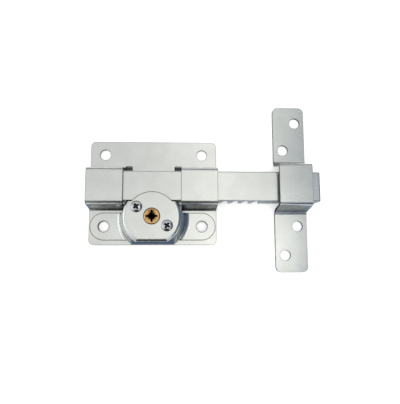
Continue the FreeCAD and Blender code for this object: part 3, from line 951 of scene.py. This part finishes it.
def floor_material(studio):
    """Pale floor that shows near white and keeps the object's shadow."""
    material, tree, shader = new_material("Pale floor")
    tint = tree.noise(object_place(tree), 3.0, 2.0, 0.5)
    tree.feed(shader.inputs["Base Color"], tree.blend(tint, (0.9, 0.9, 0.9, 1), (0.93, 0.93, 0.93, 1)))
    shader.inputs["Roughness"].default_value = 0.8
    shader.inputs["Emission Color"].default_value = (1, 1, 1, 1)
    glow = tree.math("MULTIPLY", seen_ray(tree), studio.floor_glow)
    tree.feed(shader.inputs["Emission Strength"], glow)
    return material


def set_floor(studio):
    """Wide floor just under the object."""
    half = studio.floor_size / 2
    mesh = bpy.data.meshes.new("floor")
    corners = [(x * half, y * half, -FLOOR_GAP) for x, y in ((-1, -1), (1, -1), (1, 1), (-1, 1))]
    mesh.from_pydata(corners, [], [(0, 1, 2, 3)])
    floor = new_piece("floor", mesh)
    mesh.materials.append(floor_material(studio))


def flag(name, corners, colour, seen=False):
    """Studio flag with four corners, which metal reflects and a camera may see."""
    mesh = bpy.data.meshes.new(name)
    mesh.from_pydata(corners, [], [(0, 1, 2, 3)])
    piece = new_piece(name, mesh)
    material, _, shader = new_material(name)
    shader.inputs["Base Color"].default_value = (*colour, 1.0)
    shader.inputs["Roughness"].default_value = 0.9
    mesh.materials.append(material)
    piece.visible_camera = seen
    piece.visible_diffuse = False
    piece.visible_shadow = False


def standing_flag(name, start, end, heights, colour):
    """Flag that stands between two points, from one height to another."""
    low, high = heights
    flag(name, [(*start, low), (*end, low), (*end, high), (*start, high)], colour)


def lying_flag(name, x0, x1, y0, y1, colour, seen=False):
    """Flag that lies on the floor."""
    level = -FLOOR_GAP / 2
    flag(name, [(x0, y0, level), (x1, y0, level), (x1, y1, level), (x0, y1, level)], colour, seen)


def set_flags():
    """Mats under the lock, cards of painted shade under the relief slots, and the flags that stand round
    it.
    """
    lying_flag("grey_mat", -0.5, 0.5, BOLT_LOW - 0.0015, -0.042, (0.3, 0.38, 0.52))
    lying_flag("cup_mat", -0.035, 0.04, -0.042, -0.15, (0.07, 0.12, 0.24))
    # Dark cards the camera sees under the relief slots: painted shade in the slots
    for x0, x1 in ((-RELIEF_OUTER, -RELIEF_INNER), (RELIEF_INNER, RELIEF_OUTER)):
        lying_flag("slot_card", x0, x1, BOLT_HIGH - 0.001, BOLT_HIGH + 0.006, (0.1, 0.1, 0.11), True)
    for row in STANDING_FLAGS:
        standing_flag(*row)


def set_camera(studio):
    """Camera of the reference view, over the object."""
    data = bpy.data.cameras.new("camera")
    data.lens = studio.lens
    data.shift_x, data.shift_y = CAMERA_SHIFT
    data.clip_start, data.clip_end = 0.01, 20.0
    turn = Matrix.Identity(3)
    for axis, angle in CAMERA_TURNS:
        turn = turn @ Matrix.Rotation(angle, 3, axis)
    camera = bpy.data.objects.new("camera", data)
    camera.location = CAMERA_PLACE
    camera.rotation_mode = "QUATERNION"
    camera.rotation_quaternion = turn.inverted().to_quaternion()
    bpy.context.scene.collection.objects.link(camera)
    bpy.context.scene.camera = camera


class GATEBOLT_OT_studio(bpy.types.Operator):
    """Set the floor, the flags, the lights and the camera"""

    bl_idname = "gate_bolt.studio"
    bl_label = "Studio"

    def execute(self, context):
        studio = context.scene.gate_bolt_studio
        set_floor(studio)
        set_flags()
        set_lamps(studio)
        set_world(studio)
        set_camera(studio)
        context.scene.view_settings.view_transform = "Standard"
        return {"FINISHED"}


class GATEBOLT_PT_panel(bpy.types.Panel):
    """Panel that lists the pieces"""

    bl_idname = "GATEBOLT_PT_panel"
    bl_label = "Gate Bolt"
    bl_space_type = "VIEW_3D"
    bl_region_type = "UI"
    bl_category = "Gate Bolt"

    def draw(self, context):
        """Buttons of the pieces, then the settings."""
        layout = self.layout
        for operator in OPERATORS:
            layout.operator(operator.bl_idname)
        for name in GROUPS:
            group = getattr(context.scene, name)
            box = layout.box()
            for prop in group.bl_rna.properties:
                if prop.identifier not in {"name", "rna_type"}:
                    box.prop(group, prop.identifier)


OPERATORS = (
    GATEBOLT_OT_plate, GATEBOLT_OT_keeper, GATEBOLT_OT_bolt, GATEBOLT_OT_cover, GATEBOLT_OT_screws,
    GATEBOLT_OT_plug, GATEBOLT_OT_springs, GATEBOLT_OT_works, GATEBOLT_OT_studio,
)
GROUPS = {
    "gate_bolt_finish": GateBoltFinish,
    "gate_bolt_screw": GateBoltScrew,
    "gate_bolt_spring": GateBoltSpring,
    "gate_bolt_studio": GateBoltStudio,
}
CLASSES = (*GROUPS.values(), *OPERATORS, GATEBOLT_PT_panel)


def register():
    """Adds the classes and the scene's settings."""
    for cls in CLASSES:
        bpy.utils.register_class(cls)
    for name, group in GROUPS.items():
        setattr(bpy.types.Scene, name, bpy.props.PointerProperty(type=group))


def unregister():
    """Takes the settings and the classes away again."""
    for name in GROUPS:
        delattr(bpy.types.Scene, name)
    for cls in reversed(CLASSES):
        bpy.utils.unregister_class(cls)


def main():
    """Dresses every piece and sets the studio."""
    register()
    bpy.ops.gate_bolt.plate()
    bpy.ops.gate_bolt.keeper()
    bpy.ops.gate_bolt.bolt()
    bpy.ops.gate_bolt.cover()
    bpy.ops.gate_bolt.screws()
    bpy.ops.gate_bolt.plug()
    bpy.ops.gate_bolt.springs()
    bpy.ops.gate_bolt.works()
    bpy.ops.gate_bolt.studio()


if __name__ == "__main__":
    main()
